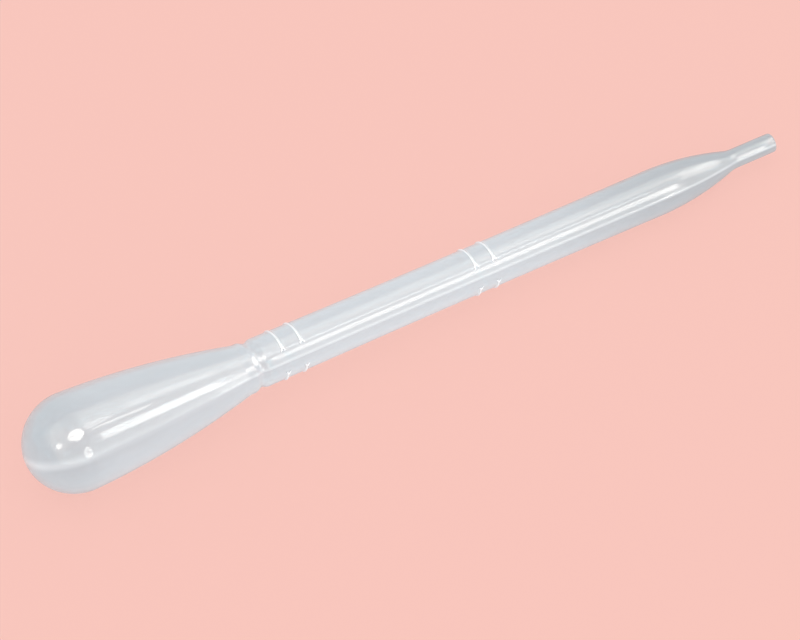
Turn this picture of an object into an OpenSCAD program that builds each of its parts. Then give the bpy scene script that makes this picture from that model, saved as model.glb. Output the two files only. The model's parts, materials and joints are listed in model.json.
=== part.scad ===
// Plastic dropper pipette: one hollow blow-moulded piece with a squeeze bulb,
// a necked-in collar, a graduated barrel and an open stub tip.
// It lies on a surface along X, on its bulb and the shoulder of its nose, tip towards +X.

/* [Bulb] */
// Outside diameter of the bulb at its widest
bulb_d = 14.1; // [11:0.1:18]
// Length of the rounded end, from its pole to the widest section
dome_len = 7.4; // [5:0.1:11]
// Length of the whole bulb, from its pole to the collar
bulb_len = 33; // [24:0.5:45]
// How far the side of the bulb bows out from a straight cone
bulb_bow = 0.65; // [0.1:0.05:1.2]
// Wall of the bulb
bulb_wall = 0.4; // [0.3:0.05:0.7]
// Wall at the pole, where the tube was pinched shut
pinch_wall = 0.9; // [0.6:0.05:1.5]

/* [Neck] */
// Outside diameter of the collar under the bulb
collar_d = 7.36; // [6.6:0.02:8.6]
// Length of the collar
collar_len = 0.7; // [0.4:0.1:2]
// How deep the groove below the collar is
groove_depth = 0.36; // [0.1:0.02:0.5]
// Length of the groove
groove_len = 2.3; // [1.6:0.1:4]

/* [Barrel] */
// Outside diameter of the barrel at the neck
barrel_d = 7.12; // [6.2:0.02:8.2]
// Outside diameter of the barrel where the nose starts
barrel_end_d = 6.98; // [6:0.02:8]
// How far the barrel draws in halfway along
barrel_waist = 0.14; // [0:0.01:0.2]
// Length of the barrel, from the groove to the nose
barrel_len = 65.7; // [50:0.1:90]
// Wall of the barrel and the nose
barrel_wall = 0.5; // [0.35:0.05:0.7]

/* [Nose and tip] */
// Length of the nose that curves in to the tip
nose_len = 13.7; // [9:0.1:20]
// Length of the stub tip, from the nose to its open end
tip_len = 7.45; // [5:0.05:14]
// Outside diameter of the tip
tip_d = 2.9; // [2.6:0.05:3.6]
// Diameter of the bore in the tip
bore_d = 2; // [1.2:0.05:2.2]
// Rounding on the tip's outer edge
tip_edge = 0.25; // [0.1:0.05:0.3]
// Reach of the blend between nose and tip, to each side of the corner
tip_blend = 0.7; // [0.3:0.1:1.5]

/* [Volume marks] */
// Distance from the groove to the middle of the first pair of rings
mark_start = 4.15; // [3:0.05:10]
// Distance between one pair of rings and the next
mark_pitch = 31.5; // [20:0.1:40]
// Distance between the two rings of a pair
ring_gap = 3; // [1.5:0.1:5]
// Angle that each half of a ring covers
ring_arc = 112; // [60:1:150]
// Width of a ring's bead
bead_w = 0.5; // [0.3:0.05:0.9]
// Height of a ring's bead above the barrel
bead_h = 0.14; // [0.06:0.01:0.2]
// Height of the rounded foot at each end of a half ring
foot_h = 0.19; // [0.08:0.01:0.25]

/* [Mould seam] */
// Turn of the seam about the axis, from the top towards -Y
seam_turn = 61; // [20:1:160]
// Width of the seam's ridge
seam_w = 0.25; // [0.15:0.05:0.5]
// Height of the seam's ridge
seam_h = 0.08; // [0.04:0.01:0.15]
// How far short of the tip the seam's ridge stops
seam_stop = 1.5; // [1:0.1:4]

/* [Rest] */
// Depth of the slight flat that the soft bulb and nose rest on
rest_flat = 0.05; // [0.01:0.01:0.1]

/* [Hidden] */
$fn = 64;
bead_facets = 32;
foot_facets = 24;

// Steps in each curved stretch of the outline
dome_steps = 12;
side_steps = 10;
groove_steps = 8;
nose_steps = 9;
blend_steps = 4;
// The two halves of the mould face each other
halves = 2;
mark_pairs = 2;
rings_in_pair = 2;
// The cavity runs past the open end of the tip by this much
overrun = 1;

// Stations along the axis, from the pole of the bulb
collar_at = bulb_len;
groove_at = collar_at + collar_len;
barrel_at = groove_at + groove_len;
nose_at = barrel_at + barrel_len;
tip_at = nose_at + nose_len;
end_at = tip_at + tip_len;

// Points are [radius, station]. Each curve runs towards the tip.
function mix(a, b, u) = a + (b - a) * u;

// Quarter ellipse from a pole on the axis to the widest section
function dome(radius, pole, widest) = [
    for (i = [0 : dome_steps])
        let (a = 90 * i / dome_steps)
        [radius * sin(a), widest - (widest - pole) * cos(a)]
];

// Line from p to q that bows out by sag halfway along
function bowed(p, q, sag, steps) = [
    for (i = [1 : steps])
        let (u = i / steps)
        mix(p, q, u) + [4 * sag * u * (1 - u), 0]
];

// Line from p to q with a rounded groove sunk into it
function grooved(p, q, depth) = [
    for (i = [1 : groove_steps])
        let (u = i / groove_steps)
        mix(p, q, u) - [depth * pow(sin(180 * u), 2), 0]
];

// Arc that leaves p along the axis and curves in through q, as points up to a reach before q
function arc_in(p, q, reach) =
    let (run = q[1] - p[1], drop = p[0] - q[0])
    let (radius = (run * run + drop * drop) / (2 * drop))
    [
        for (i = [1 : nose_steps])
            let (z = (run - reach) * i / nose_steps)
            [p[0] - radius + sqrt(radius * radius - z * z), p[1] + z]
    ];

// Rounded corner at c from a point before it to a point after it
function rounded(before, c, after) = [
    for (i = [1 : blend_steps])
        let (u = i / blend_steps)
        mix(mix(before, c, u), mix(c, after, u), u)
];

// One side of the wall, from the pole to the start of the straight tip.
// bulb_in and barrel_in set it in from the outside, and pole_in sets in its closed end.
function side(bulb_in, barrel_in, pole_in, tip_radius) =
    let (
        widest = [bulb_d / 2 - bulb_in, dome_len],
        collar = [collar_d / 2 - barrel_in, collar_at],
        lip = [collar_d / 2 - barrel_in, groove_at],
        barrel = [barrel_d / 2 - barrel_in, barrel_at],
        nose = [barrel_end_d / 2 - barrel_in, nose_at],
        corner = [tip_radius, tip_at],
        curve = arc_in(nose, corner, tip_blend)
    )
    concat(
        dome(widest[0], pole_in, dome_len),
        bowed(widest, collar, bulb_bow, side_steps),
        [lip],
        grooved(lip, barrel, groove_depth),
        bowed(barrel, nose, -barrel_waist, side_steps),
        curve,
        rounded(curve[nose_steps - 1], corner, [tip_radius, tip_at + tip_blend])
    );

// The tip's outer edge, rounded over to the flat end
function edge(radius, station, r) = [
    for (i = [0 : blend_steps])
        let (a = 90 * i / blend_steps)
        [radius - r + r * cos(a), station - r + r * sin(a)]
];

outside = concat(side(0, 0, 0, tip_d / 2), edge(tip_d / 2, end_at, tip_edge));
inside = side(bulb_wall, barrel_wall, pinch_wall, bore_d / 2);

// Radius of the barrel's outside at a station
function barrel_radius(z) =
    let (u = (z - barrel_at) / barrel_len)
    mix(barrel_d, barrel_end_d, u) / 2 - 4 * barrel_waist * u * (1 - u);

// The surface that the pipette lies on touches the bulb and the nose: its slope along
// the outline is the steepest one that leaves every point on the same side.
first_nose_point = dome_steps + 1 + side_steps + 1 + groove_steps + side_steps;
bulb_points = [for (i = [1 : dome_steps + side_steps]) outside[i]];
nose_points = [for (i = [first_nose_point - 1 : len(outside) - 1]) outside[i]];
rest_slope = min([
    for (b = bulb_points)
        max([for (n = nose_points) (b[0] - n[0]) / (b[1] - n[1])])
]);
rest_tilt = atan(-rest_slope);
rest_height = max([for (p = outside) p[1] * sin(rest_tilt) + p[0] * cos(rest_tilt)]);
low_x = min(concat(
    [-seam_h * cos(rest_tilt)],
    [for (p = outside) p[1] * cos(rest_tilt) - p[0] * sin(rest_tilt)]
));
high_x = max([for (p = outside) p[1] * cos(rest_tilt) + p[0] * sin(rest_tilt)]);

// Turns the axis from +Z to +X, dips the tip and sets the lowest points below Z = 0 by the
// depth of the flat.
// The seam's plane, which is Y = 0 before this, is turned about the axis too.
module lay_down() {
    translate([-(low_x + high_x) / 2, 0, rest_height - rest_flat])
        rotate([0, 90 + rest_tilt, 0])
            rotate([0, 0, 180 + seam_turn])
                children();
}

// Blown form, filled
module blown_form() {
    rotate_extrude()
        polygon(concat(outside, [[0, end_at]]));
}

// Air space, open at the tip
module cavity() {
    rotate_extrude()
        polygon(concat(inside, [[bore_d / 2, end_at + overrun], [0, end_at + overrun]]));
}

// Ridge left where the mould closed, over the pole and down both sides
module seam() {
    swollen = [for (p = outside) if (p[0] > 0) [p[0] + seam_h, p[1]]];
    intersection() {
        rotate_extrude()
            polygon(concat([[0, -seam_h]], swollen, [[0, end_at]]));
        translate([-bulb_d, -seam_w / 2, -bulb_d])
            cube([2 * bulb_d, seam_w, bulb_d + tip_at - seam_stop]);
    }
}

// One half of a raised ring, centred at angle 0, with a round foot at each end
module half_ring(radius) {
    bead_r = (bead_w * bead_w / 4 + bead_h * bead_h) / (2 * bead_h);
    rotate_extrude(angle = ring_arc, start = -ring_arc / 2)
        translate([radius + bead_h - bead_r, 0])
            circle(r = bead_r, $fn = bead_facets);
    for (end = [-1, 1])
        rotate([0, 0, end * ring_arc / 2])
            translate([radius + foot_h - bead_r, 0, 0])
                sphere(r = bead_r, $fn = foot_facets);
}

// Pairs of rings along the barrel, broken at the seam
module volume_marks() {
    for (pair = [0 : mark_pairs - 1], ring = [0 : rings_in_pair - 1], half = [0 : halves - 1]) {
        z = barrel_at + mark_start + pair * mark_pitch + (ring - 0.5) * ring_gap;
        translate([0, 0, z])
            rotate([0, 0, 90 + half * 360 / halves])
                half_ring(barrel_radius(z));
    }
}

// Room below the surface that the pipette lies on
module below_rest() {
    translate([-end_at, -bulb_d, -bulb_d])
        cube([2 * end_at, 2 * bulb_d, bulb_d]);
}

module pipette() {
    color([0.86, 0.89, 0.92])
        difference() {
            lay_down()
                difference() {
                    union() {
                        blown_form();
                        seam();
                        volume_marks();
                    }
                    cavity();
                }
            below_rest();
        }
}

pipette();
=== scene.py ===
"""Dresses the dropper pipette: its blown wall in translucent polyethylene, on a pale floor."""

import json
import logging
import math
from dataclasses import dataclass, field
from enum import Enum
from typing import Any, Callable, Iterable, Mapping, Sequence

import bpy
from mathutils import Matrix, Vector


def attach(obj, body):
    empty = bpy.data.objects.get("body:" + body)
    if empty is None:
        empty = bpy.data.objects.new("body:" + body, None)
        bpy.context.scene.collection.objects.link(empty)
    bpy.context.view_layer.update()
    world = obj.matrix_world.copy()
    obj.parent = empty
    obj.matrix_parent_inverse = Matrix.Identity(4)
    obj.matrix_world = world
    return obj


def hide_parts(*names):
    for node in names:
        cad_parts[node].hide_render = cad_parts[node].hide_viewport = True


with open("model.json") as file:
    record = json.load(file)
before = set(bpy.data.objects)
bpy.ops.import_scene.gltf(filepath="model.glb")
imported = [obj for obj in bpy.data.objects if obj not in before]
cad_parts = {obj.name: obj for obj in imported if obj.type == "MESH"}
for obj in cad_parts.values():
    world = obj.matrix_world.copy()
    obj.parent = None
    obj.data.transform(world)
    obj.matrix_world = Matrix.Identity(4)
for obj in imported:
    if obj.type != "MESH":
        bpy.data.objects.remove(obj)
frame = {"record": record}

log = logging.getLogger("pipette")

NODE = "pipette"
BODY = "root"
BORE_MOUNT = "tip_bore"

Point = tuple[float, float]
Scale = tuple[float, float, float]
Colour = tuple[float, float, float]


def linear(red: int, green: int, blue: int) -> Colour:
    """Turns a display colour into a linear one.

    Args:
        red: Red, 0 to 255.
        green: Green, 0 to 255.
        blue: Blue, 0 to 255.

    Returns:
        The linear colour, each part 0 to 1.
    """

    def part(level: int) -> float:
        """Undoes the display curve on one part."""
        x = level / 255
        return x / 12.92 if x <= 0.04045 else ((x + 0.055) / 1.055) ** 2.4

    return part(red), part(green), part(blue)


def mix(a: float, b: float, u: float) -> float:
    """Goes from a to b as u goes from 0 to 1."""
    return a + (b - a) * u


# ---------------------------------------------------------------- shader graph


class Value:
    """A shader socket that takes part in Python arithmetic."""

    def __init__(self, graph: "Graph", socket: bpy.types.NodeSocket) -> None:
        """Wraps a socket.

        Args:
            graph: The graph that the socket is in.
            socket: An output socket.
        """
        self.graph = graph
        self.socket = socket

    def _maths(self, operation: str, *others: Any, clamp: bool = False) -> "Value":
        """Adds a Math node that starts from this value.

        Args:
            operation: The node's operation.
            others: The node's other inputs, numbers or values.
            clamp: Whether the result is kept from 0 to 1.

        Returns:
            The result.
        """
        return self.graph.maths(operation, self, *others, clamp=clamp)

    def __add__(self, other: Any) -> "Value":
        """Adds."""
        return self._maths("ADD", other)

    def __radd__(self, other: Any) -> "Value":
        """Adds, with the value on the right."""
        return self._maths("ADD", other)

    def __sub__(self, other: Any) -> "Value":
        """Takes away."""
        return self._maths("SUBTRACT", other)

    def __rsub__(self, other: Any) -> "Value":
        """Takes this value away from a number."""
        return self.graph.maths("SUBTRACT", other, self)

    def __mul__(self, other: Any) -> "Value":
        """Multiplies."""
        return self._maths("MULTIPLY", other)

    def __rmul__(self, other: Any) -> "Value":
        """Multiplies, with the value on the right."""
        return self._maths("MULTIPLY", other)

    def __truediv__(self, other: Any) -> "Value":
        """Divides."""
        return self._maths("DIVIDE", other)

    def __rtruediv__(self, other: Any) -> "Value":
        """Divides a number by this value."""
        return self.graph.maths("DIVIDE", other, self)

    def clamped(self) -> "Value":
        """Keeps the value from 0 to 1."""
        return self._maths("ADD", 0.0, clamp=True)

    def bump(self, centre: float, reach: float) -> "Value":
        """A smooth hump.

        Args:
            centre: Where the hump is highest, at 1.
            reach: How far to each side it falls to 0.

        Returns:
            The hump's height at this value.
        """
        away = (self - centre)._maths("ABSOLUTE") / reach
        return self.graph.smooth(1.0 - away)

    def step(self, start: float, end: float) -> "Value":
        """A smooth rise from 0 at start to 1 at end."""
        return self.graph.smooth((self - start) / (end - start))


class Graph:
    """A material's or world's node tree, built from expressions."""

    # A Mix node has sockets for every kind of data; these are the ones for colours.
    MIX_SHARE = 0
    MIX_COLOURS = (6, 7)
    MIX_RESULT = 2

    def __init__(self, tree: bpy.types.NodeTree) -> None:
        """Empties a tree and keeps it.

        Args:
            tree: The node tree to build in.
        """
        self.tree = tree
        tree.nodes.clear()

    def node(
        self,
        kind: str,
        settings: Mapping[str, Any] | None = None,
        inputs: Mapping[Any, Any] | None = None,
    ) -> bpy.types.Node:
        """Adds a node.

        Args:
            kind: The node's type.
            settings: Its properties, set before its inputs.
            inputs: Numbers, colours, values or sockets for its inputs.

        Returns:
            The node.
        """
        made = self.tree.nodes.new(kind)
        for name, setting in (settings or {}).items():
            setattr(made, name, setting)
        for name, given in (inputs or {}).items():
            socket = made.inputs[name]
            given = given.socket if isinstance(given, Value) else given
            if isinstance(given, bpy.types.NodeSocket):
                self.tree.links.new(given, socket)
            else:
                socket.default_value = given
        return made

    def maths(self, operation: str, *given: Any, clamp: bool = False) -> Value:
        """Adds a Math node.

        Args:
            operation: The node's operation.
            given: Its inputs in order, numbers or values.
            clamp: Whether the result is kept from 0 to 1.

        Returns:
            The result.
        """
        made = self.node(
            "ShaderNodeMath",
            {"operation": operation, "use_clamp": clamp},
            dict(enumerate(given)),
        )
        return Value(self, made.outputs[0])

    def smooth(self, x: Value) -> Value:
        """Eases a value that runs from 0 to 1, and keeps it there."""
        made = self.node("ShaderNodeMapRange", {"interpolation_type": "SMOOTHSTEP"}, {"Value": x})
        return Value(self, made.outputs["Result"])

    def dot(self, place: Any, direction: Vector) -> Value:
        """How far a point lies along a direction.

        Args:
            place: The point's socket.
            direction: The direction, of length 1.

        Returns:
            The distance from the origin.
        """
        made = self.node(
            "ShaderNodeVectorMath",
            {"operation": "DOT_PRODUCT"},
            {0: place, 1: tuple(direction)},
        )
        return Value(self, made.outputs["Value"])

    def blend(self, share: Any, a: Any, b: Any) -> bpy.types.NodeSocket:
        """Mixes two colours.

        Args:
            share: The share of b.
            a: The first colour.
            b: The second colour.

        Returns:
            The mixed colour's socket.
        """

        def whole(colour: Any) -> Any:
            """Gives a plain colour its fourth part."""
            return (*colour, 1.0) if isinstance(colour, tuple) else colour

        first, second = self.MIX_COLOURS
        made = self.node(
            "ShaderNodeMix",
            {"data_type": "RGBA"},
            {self.MIX_SHARE: share, first: whole(a), second: whole(b)},
        )
        return made.outputs[self.MIX_RESULT]

    def layer(self, share: Any, under: bpy.types.Node, over: bpy.types.Node) -> bpy.types.Node:
        """Mixes two shaders.

        Args:
            share: The share of the second.
            under: The first shader.
            over: The second shader.

        Returns:
            The Mix Shader node.
        """
        return self.node(
            "ShaderNodeMixShader",
            {},
            {0: share, 1: under.outputs[0], 2: over.outputs[0]},
        )

    def end(self, surface: bpy.types.Node, kind: str = "ShaderNodeOutputMaterial") -> None:
        """Ends the graph in an output node.

        Args:
            surface: The last shader.
            kind: The output node's type.
        """
        self.node(kind, {}, {"Surface": surface.outputs[0]})


# ---------------------------------------------------------------- the blown form


@dataclass(frozen=True)
class Lie:
    """Where the pipette's axis lies in the row frame."""

    pole: Vector
    axis: Vector
    top: Vector
    side: Vector

    @classmethod
    def from_mount(cls, record: Mapping[str, Any], station: float) -> "Lie":
        """Finds the axis from the bore's mount.

        Args:
            record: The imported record.
            station: The mount's distance from the bulb's pole, in metres.

        Returns:
            The axis, its pole and two directions square to it.
        """
        mount = next(m for m in record["mounts"] if m["name"] == BORE_MOUNT)
        axis = Vector(mount["axis"]).normalized()
        side = Vector((0.0, -1.0, 0.0))
        return cls(Vector(mount["pos_m"]) - axis * station, axis, side.cross(axis), side)

    def matrix(self, turn: float) -> Matrix:
        """Lays down a form that was made upright.

        Args:
            turn: Angle of the form's X direction, from the top towards -Y, in radians.

        Returns:
            The matrix from the upright frame, pole at the origin, to the row frame.
        """
        x = self.top * math.cos(turn) + self.side * math.sin(turn)
        y = self.axis.cross(x)
        columns = Matrix((x, y, self.axis)).transposed().to_4x4()
        return Matrix.Translation(self.pole) @ columns


@dataclass(frozen=True)
class Outline:
    """The blown form's sizes and outline, in metres, as radius against station from the pole."""

    bulb_radius: float = 0.00705
    dome_length: float = 0.0074
    bulb_length: float = 0.033
    bulb_bow: float = 0.00065
    bulb_wall: float = 0.0004
    pinch_wall: float = 0.0009
    collar_radius: float = 0.00368
    collar_length: float = 0.0007
    groove_depth: float = 0.00036
    groove_length: float = 0.0023
    barrel_radius: float = 0.00356
    barrel_end_radius: float = 0.00349
    barrel_waist: float = 0.00014
    barrel_length: float = 0.0657
    wall: float = 0.0005
    nose_length: float = 0.0137
    tip_length: float = 0.00745
    tip_radius: float = 0.00145
    bore_radius: float = 0.001
    tip_edge: float = 0.00025
    tip_blend: float = 0.0007
    tip_rows: tuple[float, float] = (0.7, 0.4)
    dome_steps: int = 30
    bulb_steps: int = 26
    groove_steps: int = 16
    barrel_pace: float = 0.0017
    nose_steps: int = 22
    edge_steps: int = 5

    @property
    def collar_at(self) -> float:
        """Station of the collar."""
        return self.bulb_length

    @property
    def groove_at(self) -> float:
        """Station where the groove starts."""
        return self.collar_at + self.collar_length

    @property
    def barrel_at(self) -> float:
        """Station where the barrel starts."""
        return self.groove_at + self.groove_length

    @property
    def nose_at(self) -> float:
        """Station where the nose starts."""
        return self.barrel_at + self.barrel_length

    @property
    def tip_at(self) -> float:
        """Station where the stub tip starts."""
        return self.nose_at + self.nose_length

    @property
    def end_at(self) -> float:
        """Station of the tip's open end."""
        return self.tip_at + self.tip_length

    @property
    def bore_middle(self) -> float:
        """Station of the middle of the bore's straight wall, where its mount is."""
        return (self.tip_at + self.tip_blend + self.end_at) / 2

    def barrel_radius_at(self, station: float) -> float:
        """Radius of the barrel's outside at a station."""
        u = (station - self.barrel_at) / self.barrel_length
        return mix(self.barrel_radius, self.barrel_end_radius, u) - 4 * self.barrel_waist * u * (1 - u)

    def dome(self, radius: float, pole: float) -> list[Point]:
        """The rounded end, from its pole to the widest section.

        Args:
            radius: Radius at the widest section.
            pole: Station of the pole.

        Returns:
            Points of a quarter ellipse.
        """
        rise = self.dome_length - pole
        angles = (math.pi / 2 * i / self.dome_steps for i in range(self.dome_steps + 1))
        return [(radius * math.sin(a), self.dome_length - rise * math.cos(a)) for a in angles]

    def bulb_side(self, inset: float, neck_inset: float) -> list[Point]:
        """The bulb's side, which bows out from a cone.

        Args:
            inset: How far the bulb's surface lies inside the outer one.
            neck_inset: The same at the collar.

        Returns:
            Points from the widest section to the collar.
        """
        points = []
        for i in range(1, self.bulb_steps + 1):
            u = i / self.bulb_steps
            cone = mix(self.bulb_radius - inset, self.collar_radius - neck_inset, u)
            bow = 4 * self.bulb_bow * u * (1 - u)
            points.append((cone + bow, mix(self.dome_length, self.collar_at, u)))
        return points

    def neck(self, inset: float) -> list[Point]:
        """The collar and the groove under it.

        Args:
            inset: How far the surface lies inside the outer one.

        Returns:
            Points from the collar's end to the barrel.
        """
        points = [(self.collar_radius - inset, self.groove_at)]
        for i in range(1, self.groove_steps + 1):
            u = i / self.groove_steps
            radius = mix(self.collar_radius, self.barrel_radius, u) - inset
            sunk = self.groove_depth * math.sin(math.pi * u) ** 2
            points.append((radius - sunk, mix(self.groove_at, self.barrel_at, u)))
        return points

    def barrel(self, inset: float, marks: Sequence[float]) -> list[Point]:
        """The graduated barrel.

        Args:
            inset: How far the surface lies inside the outer one.
            marks: Stations that need points of their own.

        Returns:
            Points from just past the neck to the nose.
        """
        count = round(self.barrel_length / self.barrel_pace)
        even = [self.barrel_at + self.barrel_length * i / count for i in range(1, count + 1)]
        nearest = self.barrel_pace / 3
        clear = [z for z in even if all(abs(z - m) > nearest for m in marks)]
        return [(self.barrel_radius_at(z) - inset, z) for z in sorted({*clear, *marks})]

    def nose(self, inset: float, tip_radius: float) -> list[Point]:
        """The nose's arc, its blend and the start of the stub tip.

        Args:
            inset: How far the nose's start lies inside the outer surface.
            tip_radius: Radius of the tip on this surface.

        Returns:
            Points from just past the barrel to the straight tip.
        """
        start = self.barrel_end_radius - inset
        run, drop = self.nose_length, start - tip_radius
        radius = (run * run + drop * drop) / (2 * drop)
        points = []
        for i in range(1, self.nose_steps + 1):
            z = (run - self.tip_blend) * i / self.nose_steps
            points.append((start - radius + math.sqrt(radius * radius - z * z), self.nose_at + z))
        before, corner = points[-1], (tip_radius, self.tip_at)
        after = (tip_radius, self.tip_at + self.tip_blend)
        for i in range(1, self.edge_steps + 1):
            u = i / self.edge_steps
            first = [mix(p, q, u) for p, q in zip(before, corner)]
            second = [mix(p, q, u) for p, q in zip(corner, after)]
            points.append((mix(first[0], second[0], u), mix(first[1], second[1], u)))
        return points

    def tip_end(self) -> list[Point]:
        """The outer edge, rounded over to the flat end, and the bore's rim.

        Returns:
            Points from the middle of the stub tip to the bore.
        """
        points = [(self.tip_radius, self.end_at - self.tip_length * share) for share in self.tip_rows]
        radius, station = self.tip_radius - self.tip_edge, self.end_at - self.tip_edge
        for i in range(self.edge_steps + 1):
            a = math.pi / 2 * i / self.edge_steps
            points.append((radius + self.tip_edge * math.cos(a), station + self.tip_edge * math.sin(a)))
        return points + [(self.bore_radius, self.end_at)]

    def outer(self, marks: Sequence[float]) -> list[Point]:
        """The outside, from the pole to the bore's rim.

        Args:
            marks: Stations on the barrel that need points of their own.

        Returns:
            The outside's points.
        """
        return [
            *self.dome(self.bulb_radius, 0.0),
            *self.bulb_side(0.0, 0.0),
            *self.neck(0.0),
            *self.barrel(0.0, marks),
            *self.nose(0.0, self.tip_radius),
            *self.tip_end(),
        ]

    def inner(self) -> list[Point]:
        """The air space's wall, from the bore back to the pole.

        Returns:
            The inside's points.
        """
        points = [
            *self.dome(self.bulb_radius - self.bulb_wall, self.pinch_wall),
            *self.bulb_side(self.bulb_wall, self.wall),
            *self.neck(self.wall),
            *self.barrel(self.wall, ()),
            *self.nose(self.wall, self.bore_radius),
            (self.bore_radius, mix(self.tip_at, self.end_at, 0.5)),
        ]
        return points[::-1]


@dataclass(frozen=True)
class VolumeMarks:
    """Pairs of raised rings, each in two halves with rounded feet."""

    start: float = 0.00415
    pitch: float = 0.0315
    gap: float = 0.003
    pairs: int = 2
    arc: float = math.radians(112)
    bead_width: float = 0.0005
    bead_height: float = 0.00014
    foot_height: float = 0.00019
    prong_length: float = 0.0005
    prong_width: float = 0.00028
    prong_spread: float = math.radians(38)
    prong_fall: float = 0.45
    rows: int = 8
    row_reach: float = 1.05

    def stations(self, outline: Outline) -> list[float]:
        """The middle of each ring.

        Args:
            outline: The blown form.

        Returns:
            Their stations.
        """
        first = outline.barrel_at + self.start
        sides = (-self.gap / 2, self.gap / 2)
        return [first + pair * self.pitch + off for pair in range(self.pairs) for off in sides]

    def rows_at(self, outline: Outline) -> list[float]:
        """Stations across each bead, close enough to shape it.

        Args:
            outline: The blown form.

        Returns:
            The stations, in order.
        """
        half = self.bead_width * self.row_reach
        offsets = [half * i / self.rows for i in range(-self.rows, self.rows + 1)]
        return [z + off for z in self.stations(outline) for off in offsets]

    def prong(self, past: float, across: float) -> float:
        """Height of the two small prongs that a foot splits into.

        Args:
            past: Distance round the barrel from the end of the half ring.
            across: Distance along the barrel from the middle of the ring.

        Returns:
            The height over the barrel.
        """
        on, out = math.cos(self.prong_spread), math.sin(self.prong_spread)
        run = min(self.prong_length, max(0.0, past * on + across * out))
        off = math.hypot(past - run * on, across - run * out)
        crest = self.foot_height * (1 - self.prong_fall * run / self.prong_length)
        return crest * max(0.0, 1 - (2 * off / self.prong_width) ** 2)

    def height(self, outline: Outline, station: float, angle: float) -> float:
        """How far the beads stand out at a place on the barrel.

        Args:
            outline: The blown form.
            station: Distance from the pole.
            angle: Angle about the axis, from the seam's plane, in radians.

        Returns:
            The height over the barrel.
        """
        ball = (self.bead_width**2 / 4 + self.bead_height**2) / (2 * self.bead_height)
        from_middle = abs(abs(math.remainder(angle, 2 * math.pi)) - math.pi / 2)
        past = max(0.0, from_middle - self.arc / 2) * outline.barrel_radius
        before = abs(from_middle - self.arc / 2) * outline.barrel_radius
        best = 0.0
        for z in self.stations(outline):
            across = abs(station - z)
            if across > self.bead_width:
                continue
            if past == 0.0:
                best = max(best, self.bead_height * (1 - (2 * across / self.bead_width) ** 2))
            reach = math.hypot(across, before)
            if reach < ball:
                best = max(best, math.sqrt(ball**2 - reach**2) - ball + self.foot_height)
            best = max(best, self.prong(past, across))
        return best


@dataclass(frozen=True)
class MouldSeam:
    """The ridge where the two halves of the mould met."""

    turn: float = math.radians(61)
    width: float = 0.0005
    bulb_width: float = 0.0014
    bulb_share: float = 0.8
    height: float = 0.00003
    stop_short: float = 0.0015
    narrowing: float = 0.006

    def rise(self, outline: Outline, station: float, across: float) -> float:
        """How far the ridge stands out.

        Args:
            outline: The blown form.
            station: Distance from the pole.
            across: Distance from the seam's plane.

        Returns:
            The height over the wall.
        """
        narrowed = min(1.0, max(0.0, (station - outline.groove_at + self.narrowing) / self.narrowing))
        half = mix(self.bulb_width, self.width, narrowed) / 2
        if station > outline.tip_at - self.stop_short or across > half:
            return 0.0
        return self.height * mix(self.bulb_share, 1.0, narrowed) * (1 - (across / half) ** 2) ** 2


@dataclass(frozen=True)
class Spacing:
    """Turns of the spin from the seam's plane to the middle of a half, closest at the seam and feet.

    Each band has the angle where it ends, in degrees, and its number of steps.
    """

    bands: tuple[tuple[float, int], ...] = (
        (1.2, 5),
        (2.4, 3),
        (5.2, 4),
        (25.5, 8),
        (36.5, 14),
        (90.0, 20),
    )

    def turns(self) -> list[tuple[float, int]]:
        """The spins of a full turn.

        Returns:
            Pairs of an angle in radians and its number of steps.
        """
        starts = (0.0, *(angle for angle, _ in self.bands))
        quarter = [(math.radians(end - start), steps) for start, (end, steps) in zip(starts, self.bands)]
        return [*quarter, *quarter[::-1]] * 2


class Hand:
    """Modelling moves, made with operators as by hand."""

    # Size of the plane that a chain's first vertex is merged from, in metres
    SEED = 0.001

    @staticmethod
    def start() -> None:
        """Leaves edit mode and deselects everything."""
        if bpy.context.object and bpy.context.object.mode != "OBJECT":
            bpy.ops.object.mode_set(mode="OBJECT")
        bpy.ops.object.select_all(action="DESELECT")

    @staticmethod
    def thread(points: Sequence[Vector]) -> bpy.types.Object:
        """Draws a chain of edges from one vertex by extruding it.

        Args:
            points: The chain's places.

        Returns:
            The new object, its vertices in the chain's order.
        """
        Hand.start()
        bpy.ops.mesh.primitive_plane_add(size=Hand.SEED, location=points[0])
        made = bpy.context.object
        bpy.ops.object.transform_apply(location=True, rotation=False, scale=False)
        bpy.ops.object.mode_set(mode="EDIT")
        bpy.ops.mesh.select_all(action="SELECT")
        bpy.ops.mesh.merge(type="CENTER")
        for here, there in zip(points, points[1:]):
            move = {"value": tuple(there - here)}
            bpy.ops.mesh.extrude_region_move(TRANSFORM_OT_translate=move)
        bpy.ops.object.mode_set(mode="OBJECT")
        return made

    @staticmethod
    def mask(piece: bpy.types.Object, name: str, values: Sequence[float]) -> None:
        """Keeps one number for each vertex.

        Args:
            piece: The object.
            name: Name of the mask.
            values: The numbers, in the vertices' order.
        """
        piece.data.attributes.new(name, "FLOAT", "POINT").data.foreach_set("value", values)

    @staticmethod
    def relief(
        piece: bpy.types.Object, name: str, most: float, height: Callable[[Vector], float]
    ) -> None:
        """Raises part of the outer surface along its normals and keeps the mask.

        Args:
            piece: The object.
            name: Name of the mask.
            most: The greatest height.
            height: Height at a place in the object's own frame.
        """
        inside = [value.value > 0.5 for value in piece.data.attributes["inside"].data]
        shares = [0.0 if i else height(v.co) / most for i, v in zip(inside, piece.data.vertices)]
        group = piece.vertex_groups.new(name=name + "_lift")
        for index, share in enumerate(shares):
            if share > 0:
                group.add([index], share, "REPLACE")
        Hand.mask(piece, name, shares)
        raise_it = piece.modifiers.new(name, "DISPLACE")
        raise_it.vertex_group = group.name
        raise_it.mid_level = 0.0
        raise_it.strength = most
        bpy.ops.object.modifier_apply(modifier=name)
        piece.vertex_groups.clear()


# ---------------------------------------------------------------- finishes


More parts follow.
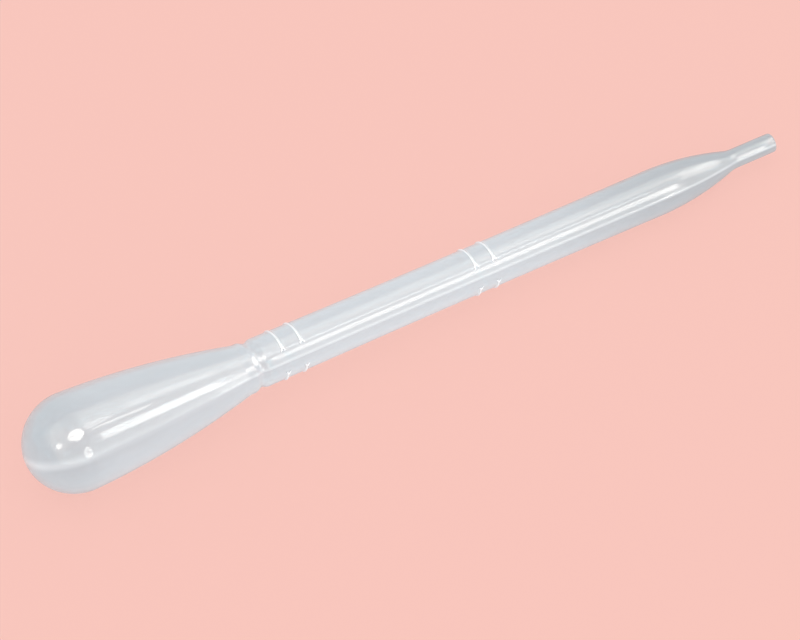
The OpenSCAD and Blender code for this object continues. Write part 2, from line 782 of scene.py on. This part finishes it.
@dataclass(frozen=True)
class Polyethylene:
    """Natural low-density polyethylene: milky, a little see-through, with a satin gloss.

    Widths, reaches and depths are in metres. Hazes, strengths and fades are shares.
    """

    lie: Lie
    outline: Outline
    seam_turn: float
    milk: Colour = linear(243, 245, 246)
    # Greyer milk towards the tip, over the bulb and at its rounded end.
    grey_milk: Colour = linear(212, 216, 218)
    # Whitest milk on the beads and the seam: partly thicker plastic, partly a painted highlight.
    thick_highlight_milk: Colour = linear(255, 255, 255)
    tint: Colour = (0.91, 0.975, 1.0)
    haze: float = 0.42
    edge_haze: float = 0.55
    edge_bias: float = 0.82
    # Extra opacity on the beads and the seam, partly thicker plastic, partly so that their painted
    # highlight shows.
    thick_highlight_haze: float = 0.4
    inside_haze: float = 0.08
    cloud_haze: float = 0.12
    cloud_roughness: float = 0.08
    cloud_scale: Scale = (90.0, 420.0, 420.0)
    ior: float = 1.51
    roughness: float = 0.25
    body_gloss: float = 0.3
    gloss_ior: float = 1.8
    gloss_roughness: float = 0.035
    glow: float = 0.4
    draw_reach: float = 0.03
    bulb_greying: float = 0.2
    dome_greying: float = 0.25
    dome_fade: tuple[float, float] = (0.6, 1.6)
    mark_crest: float = 0.72
    mark_reach: float = 0.6
    weld_width: float = 0.0011
    weld_reach: float = 0.009
    weld_strength: float = 0.38
    side_weld: float = 0.4
    side_fade: tuple[float, float] = (0.5, 1.3)
    # The fine seam line down the barrel is whitened, partly as a painted highlight along its ridge.
    line_width: float = 0.00034
    line_strength: float = 0.42
    ripple_scale: Scale = (160.0, 420.0, 420.0)
    ripple_depth: float = 0.00004
    ripple_strength: float = 0.5
    neck_reach: float = 0.004
    lump_scale: float = 550.0
    lump_height: float = 18.0

    def material(self) -> bpy.types.Material:
        """Builds the material.

        Returns:
            The material.
        """
        made = bpy.data.materials.new("polyethylene")
        made.use_nodes = True
        graph = Graph(made.node_tree)
        place = graph.node("ShaderNodeTexCoord").outputs["Object"]
        station = graph.dot(place, self.lie.axis) - self.lie.axis.dot(self.lie.pole)
        marks, inside = self.mask(graph, "marks"), self.mask(graph, "inside")
        cloud = self.noise(graph, place, self.cloud_scale, detail=3.0, roughness=0.55) - 0.5
        weight = graph.node("ShaderNodeLayerWeight", {}, {"Blend": self.edge_bias})
        facing = Value(graph, weight.outputs["Facing"])
        # The beads and the seam line are whiter and more opaque: partly thicker plastic, partly a
        # painted highlight where they catch the lamps.
        beads = marks.bump(self.mark_crest, self.mark_reach)
        thick_and_highlight = (beads + self.weld_and_highlight(graph, place, station)).clamped()
        colour = graph.blend(self.greying(station), self.milk, self.grey_milk)
        colour = graph.blend(thick_and_highlight, colour, self.thick_highlight_milk)
        wall = self.haze + facing * self.edge_haze + thick_and_highlight * self.thick_highlight_haze + cloud * self.cloud_haze
        haze = (wall * (1.0 - inside) + inside * self.inside_haze).clamped()
        normal = self.ripple(graph, place, station)
        body = graph.node(
            "ShaderNodeBsdfPrincipled",
            {},
            {
                "Base Color": colour,
                "Roughness": self.roughness + cloud * self.cloud_roughness,
                "IOR": self.ior,
                "Specular IOR Level": self.body_gloss,
                "Coat Weight": 1.0,
                "Coat Roughness": self.gloss_roughness,
                "Coat IOR": self.gloss_ior,
                "Normal": normal,
            },
        )
        through = graph.node("ShaderNodeBsdfTranslucent", {}, {"Color": colour, "Normal": normal})
        clear = graph.node("ShaderNodeBsdfTransparent", {}, {"Color": (*self.tint, 1.0)})
        milky = graph.layer((1.0 - thick_and_highlight) * self.glow, body, through)
        graph.end(graph.layer(haze, clear, milky))
        return made

    @staticmethod
    def mask(graph: Graph, name: str) -> Value:
        """Reads one of the piece's masks.

        Args:
            graph: The material's graph.
            name: The mask's name.

        Returns:
            The mask, 0 to 1.
        """
        return Value(graph, graph.node("ShaderNodeAttribute", {"attribute_name": name}).outputs["Fac"])

    @staticmethod
    def noise(
        graph: Graph,
        place: bpy.types.NodeSocket,
        scale: Scale,
        detail: float,
        roughness: float = 0.5,
    ) -> Value:
        """Random unevenness, finer where its scale is greater.

        Args:
            graph: The material's graph.
            place: Object coordinates.
            scale: Scale along each axis of the object, for each metre.
            detail: How many finer layers it has.
            roughness: How strong the finer layers are.

        Returns:
            A value near 0.5.
        """
        scaled = graph.node("ShaderNodeMapping", {}, {"Vector": place, "Scale": scale})
        made = graph.node(
            "ShaderNodeTexNoise",
            {},
            {"Vector": scaled.outputs[0], "Scale": 1.0, "Detail": detail, "Roughness": roughness},
        )
        return Value(graph, made.outputs["Fac"])

    def greying(self, station: Value) -> Value:
        """How far the colour is greyed: towards the tip, over the bulb, and more at its rounded end.

        Args:
            station: Distance from the pole.

        Returns:
            0 on the barrel and up to 1 on the tip.
        """
        form = self.outline
        drawn = station.step(form.nose_at - self.draw_reach, form.tip_at)
        blown = 1.0 - station.step(form.collar_at - self.neck_reach, form.barrel_at)
        start, end = (form.dome_length * share for share in self.dome_fade)
        dome = 1.0 - station.step(start, end)
        return drawn + blown * self.bulb_greying + dome * self.dome_greying

    def weld_and_highlight(self, graph: Graph, place: bpy.types.NodeSocket, station: Value) -> Value:
        """The thicker plastic along the mould seam, and a fine line down the barrel that is partly a
        painted highlight.

        Args:
            graph: The material's graph.
            place: Object coordinates.
            station: Distance from the pole.

        Returns:
            A soft band over the bulb, strongest at its pole, and a fine line down the barrel, partly a
            painted highlight.
        """
        across = self.lie.side * math.cos(self.seam_turn) - self.lie.top * math.sin(self.seam_turn)
        off = graph.dot(place, across) - across.dot(self.lie.pole)
        neck = station.step(self.outline.collar_at - self.weld_reach, self.outline.collar_at)
        start, end = (self.outline.dome_length * share for share in self.side_fade)
        side = station.step(start, end)
        strength = (1.0 - neck) * (1.0 - side * (1.0 - self.side_weld)) * self.weld_strength
        line = off.bump(0.0, self.line_width) * neck * self.line_strength
        return off.bump(0.0, self.weld_width) * strength + line

    def ripple(self, graph: Graph, place: bpy.types.NodeSocket, station: Value) -> bpy.types.NodeSocket:
        """Faint ripples that break up the highlights, with lumps where the neck draws in.

        Args:
            graph: The material's graph.
            place: Object coordinates.
            station: Distance from the pole.

        Returns:
            The normal's socket.
        """
        ripples = self.noise(graph, place, self.ripple_scale, detail=2.0) - 0.5
        lumps = self.noise(graph, place, (self.lump_scale,) * 3, detail=1.0) - 0.5
        neck = station.bump(self.outline.barrel_at, self.neck_reach)
        height = ripples + lumps * neck * self.lump_height
        raised = graph.node(
            "ShaderNodeBump",
            {},
            {"Strength": self.ripple_strength, "Distance": self.ripple_depth, "Height": height},
        )
        return raised.outputs["Normal"]


@dataclass(frozen=True)
class Paper:
    """Pale pink backdrop paper. It throws neutral light back at the object."""

    shown: Colour = linear(249, 198, 188)
    bounce: Colour = (0.9, 0.9, 0.9)
    even: float = 0.82

    def material(self) -> bpy.types.Material:
        """Builds the material.

        Returns:
            The material.
        """
        made = bpy.data.materials.new("backdrop_paper")
        made.use_nodes = True
        graph = Graph(made.node_tree)
        path = graph.node("ShaderNodeLightPath").outputs
        rays = [path["Is Camera Ray"], path["Is Glossy Ray"], path["Is Transmission Ray"]]
        camera, glossy, through = (Value(graph, ray) for ray in rays)
        seen = (camera + glossy + through).clamped()
        colour = graph.blend(seen, self.bounce, self.shown)
        lit = graph.node("ShaderNodeBsdfDiffuse", {}, {"Color": colour})
        plain = graph.node("ShaderNodeEmission", {}, {"Color": (*self.shown, 1.0), "Strength": 1.0})
        graph.end(graph.layer(seen * self.even, lit, plain))
        return made


# ---------------------------------------------------------------- the piece


@dataclass
class Pipette:
    """The whole pipette: one blown wall with its marks and seam."""

    lie: Lie
    outline: Outline = field(default_factory=Outline)
    marks: VolumeMarks = field(default_factory=VolumeMarks)
    seam: MouldSeam = field(default_factory=MouldSeam)
    spacing: Spacing = field(default_factory=Spacing)
    smooth_angle: float = math.radians(40)
    merge_distance: float = 2e-6
    cut_tolerance: float = 1e-7

    def build(self) -> bpy.types.Object:
        """Spins the wall upright, raises its relief and lays it down.

        Returns:
            The piece, at the origin of the row frame.
        """
        outer, inner = self.outline.outer(self.marks.rows_at(self.outline)), self.outline.inner()
        piece = Hand.thread([Vector((radius, 0.0, station)) for radius, station in (*outer, *inner)])
        Hand.mask(piece, "inside", [0.0] * len(outer) + [1.0] * len(inner))
        bpy.ops.object.mode_set(mode="EDIT")
        bpy.ops.mesh.select_all(action="SELECT")
        for angle, steps in self.spacing.turns():
            bpy.ops.mesh.spin(steps=steps, angle=angle, center=(0, 0, 0), axis=(0, 0, 1))
        bpy.ops.mesh.select_all(action="SELECT")
        bpy.ops.mesh.remove_doubles(threshold=self.merge_distance)
        bpy.ops.mesh.normals_make_consistent(inside=False)
        bpy.ops.object.mode_set(mode="OBJECT")
        piece.name = piece.data.name = "blown_wall"
        Hand.relief(piece, "marks", self.marks.foot_height, self.mark_height)
        Hand.relief(piece, "seam", self.seam.height, self.seam_height)
        piece.matrix_world = self.lie.matrix(self.seam.turn)
        bpy.ops.object.transform_apply(location=True, rotation=True, scale=True)
        self.flatten(piece)
        bpy.ops.object.shade_smooth_by_angle(angle=self.smooth_angle)
        return piece

    def flatten(self, piece: bpy.types.Object) -> None:
        """Cuts the slight flat that the bulb and the nose rest on.

        Args:
            piece: The laid wall, a little of it below the floor.
        """
        bpy.ops.object.mode_set(mode="EDIT")
        bpy.ops.mesh.select_all(action="SELECT")
        bpy.ops.mesh.bisect(
            plane_co=(0, 0, 0),
            plane_no=(0, 0, 1),
            clear_inner=True,
            use_fill=True,
            threshold=self.cut_tolerance,
        )
        bpy.ops.object.mode_set(mode="OBJECT")
        log.info("lowest point %.6f m", min(vertex.co.z for vertex in piece.data.vertices))

    def mark_height(self, place: Vector) -> float:
        """Height of the volume marks at a point of the upright wall."""
        return self.marks.height(self.outline, place.z, math.atan2(place.y, place.x))

    def seam_height(self, place: Vector) -> float:
        """Height of the seam's ridge at a point of the upright wall."""
        return self.seam.rise(self.outline, place.z, abs(place.y))

    def dress(self, piece: bpy.types.Object) -> None:
        """Gives the piece its finish and its place in the frame.

        Args:
            piece: The built wall.
        """
        piece.data.materials.clear()
        piece.data.materials.append(Polyethylene(self.lie, self.outline, self.seam.turn).material())
        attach(piece, BODY)
        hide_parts(NODE)


# ---------------------------------------------------------------- the studio


WARM: Colour = (1.0, 0.94, 0.8)
WHITE: Colour = (1.0, 0.965, 0.9)
COOL: Colour = (0.9, 0.97, 1.0)


class Lights(Enum):
    """What a lamp is there for."""

    FORM = "form"
    GLOSS = "gloss"


@dataclass(frozen=True)
class Lamp:
    """A soft lamp, placed and sized by its angles as seen from the pipette, in degrees.

    Attributes:
        name: The lamp's name.
        about: Angle of its middle about the axis, from the top towards -Y.
        lean: Angle of its middle from square to the axis, towards the tip.
        width: Angle that it covers about the axis.
        length: Angle that it covers along the axis.
        radiance: How bright its face is.
        distance: How far off it stands, in metres. A near one is seen by one end of the pipette only.
        colour: Its colour.
        lights: What it is there for.
        rounded: Whether it is an ellipse and not a rectangle.
    """

    name: str
    about: float
    lean: float
    width: float
    length: float
    radiance: float
    distance: float = 1.0
    colour: Colour = WHITE
    lights: Lights = Lights.GLOSS
    rounded: bool = False

    def build(self, lie: Lie, target: Vector) -> None:
        """Adds the lamp.

        Args:
            lie: Where the pipette's axis lies.
            target: The point that the lamp faces.
        """
        about, lean = math.radians(self.about), math.radians(self.lean)
        square = lie.top * math.cos(about) + lie.side * math.sin(about)
        z = square * math.cos(lean) + lie.axis * math.sin(lean)
        x = lie.axis * math.cos(lean) - square * math.sin(lean)
        y = z.cross(x)
        data = bpy.data.lights.new(self.name, "AREA")
        data.shape = "ELLIPSE" if self.rounded else "RECTANGLE"
        data.size = 2 * self.distance * math.tan(math.radians(self.length / 2))
        data.size_y = 2 * self.distance * math.tan(math.radians(self.width / 2))
        share = math.pi / 4 if self.rounded else 1.0
        data.energy = self.radiance * math.pi * data.size * data.size_y * share
        data.color = self.colour
        lamp = bpy.data.objects.new(self.name, data)
        lamp.visible_diffuse = self.lights is Lights.FORM
        lamp.visible_glossy = self.lights is Lights.GLOSS
        bpy.context.scene.collection.objects.link(lamp)
        turn = Matrix((x, y, z)).transposed().to_4x4()
        lamp.matrix_world = Matrix.Translation(target + z * self.distance) @ turn


@dataclass(frozen=True)
class Camera:
    """A camera that looks down along the pipette from beside its bulb."""

    sight: Vector = Vector((-0.344, -0.559, 0.755))
    distance: float = 0.5
    lens: float = 160.4
    sensor: float = 36.0
    clip: tuple[float, float] = (0.01, 10.0)
    station: float = 0.0577
    offset: tuple[float, float] = (-0.00092, 0.00214)
    rise: float = math.radians(23.365)

    def build(self, lie: Lie) -> None:
        """Adds the camera.

        Args:
            lie: Where the pipette's axis lies.
        """
        data = bpy.data.cameras.new("camera")
        data.lens, data.sensor_width = self.lens, self.sensor
        data.clip_start, data.clip_end = self.clip
        camera = bpy.data.objects.new("camera", data)
        bpy.context.scene.collection.objects.link(camera)
        back = self.sight.normalized()
        along = (lie.axis - back * lie.axis.dot(back)).normalized()
        square = back.cross(along)
        right = along * math.cos(self.rise) - square * math.sin(self.rise)
        up = along * math.sin(self.rise) + square * math.cos(self.rise)
        target = lie.pole + lie.axis * self.station
        place = target - right * self.offset[0] - up * self.offset[1] + back * self.distance
        turn = Matrix((right, up, back)).transposed().to_4x4()
        camera.matrix_world = Matrix.Translation(place) @ turn
        bpy.context.scene.camera = camera


@dataclass(frozen=True)
class Studio:
    """A pale floor, soft lamps and an even surround. The gloss lamps each make one highlight."""

    lie: Lie
    floor_size: float = 6.0
    floor_gap: float = 0.00002
    middle: float = 0.06
    surround: Colour = (0.93, 0.97, 1.0)
    surround_strength: float = 0.98
    lamps: tuple[Lamp, ...] = (
        Lamp("side_fill", 74, 0, 70, 90, 0.55, colour=COOL, lights=Lights.FORM),
        Lamp("panel", 38, 0, 126, 128, 1.5, colour=WARM),
        Lamp("band_lamp", -3, 30, 28, 44, 1.1, colour=WARM),
        Lamp("dome_lamp", 5, -45, 60, 40, 1.2, colour=WARM),
        Lamp("main_lamp", 50, 26.5, 17, 21, 8.0, distance=0.5),
        Lamp("line_lamp", 27, 22, 4, 11, 8.5),
        Lamp("over_lamp", 6, 31, 12, 14, 2.0),
        Lamp("taper_lamp", 60, 36, 4, 8, 5.0, distance=0.3),
        Lamp("nose_lamp", 14, 51, 32, 17, 4.2, distance=0.3),
        Lamp("tip_lamp", 70, 38, 52, 9, 2.6, distance=0.3),
        Lamp("neck_lamp", 8, 74, 28, 20, 9.0, rounded=True),
        Lamp("collar_lamp", 16, 9, 14, 12, 6.0, distance=0.3, rounded=True),
        Lamp("bulb_lamp", 25, -11, 26, 34, 17.0, rounded=True),
        Lamp("end_lamp", 31, -50, 12, 14, 10.0, rounded=True),
        Lamp("side_lamp", 68, 0, 20, 17, 8.0, rounded=True),
    )

    def build(self) -> None:
        """Builds the floor, the lamps and the world."""
        Hand.start()
        bpy.ops.mesh.primitive_plane_add(size=self.floor_size, location=(0, 0, -self.floor_gap))
        floor = bpy.context.object
        floor.name = "floor"
        floor.data.materials.append(Paper().material())
        target = self.lie.pole + self.lie.axis * self.middle
        for lamp in self.lamps:
            lamp.build(self.lie, target)
        world = bpy.data.worlds.new("surround")
        world.use_nodes = True
        graph = Graph(world.node_tree)
        light = graph.node(
            "ShaderNodeBackground",
            {},
            {"Color": (*self.surround, 1.0), "Strength": self.surround_strength},
        )
        graph.end(light, "ShaderNodeOutputWorld")
        bpy.context.scene.world = world
        bpy.context.scene.view_settings.view_transform = "Standard"


# ---------------------------------------------------------------- the scene


def main() -> None:
    """Builds the pipette, dresses it and sets the studio round it."""
    logging.basicConfig(level=logging.INFO, format="%(name)s: %(message)s")
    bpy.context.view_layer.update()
    outline = Outline()
    lie = Lie.from_mount(frame["record"], outline.bore_middle)
    pipette = Pipette(lie, outline)
    piece = pipette.build()
    pipette.dress(piece)
    log.info("%s: %d vertices, %d faces", piece.name, len(piece.data.vertices), len(piece.data.polygons))
    Studio(lie).build()
    Camera().build(lie)
    log.info("studio and camera set")


if __name__ == "__main__":
    main()
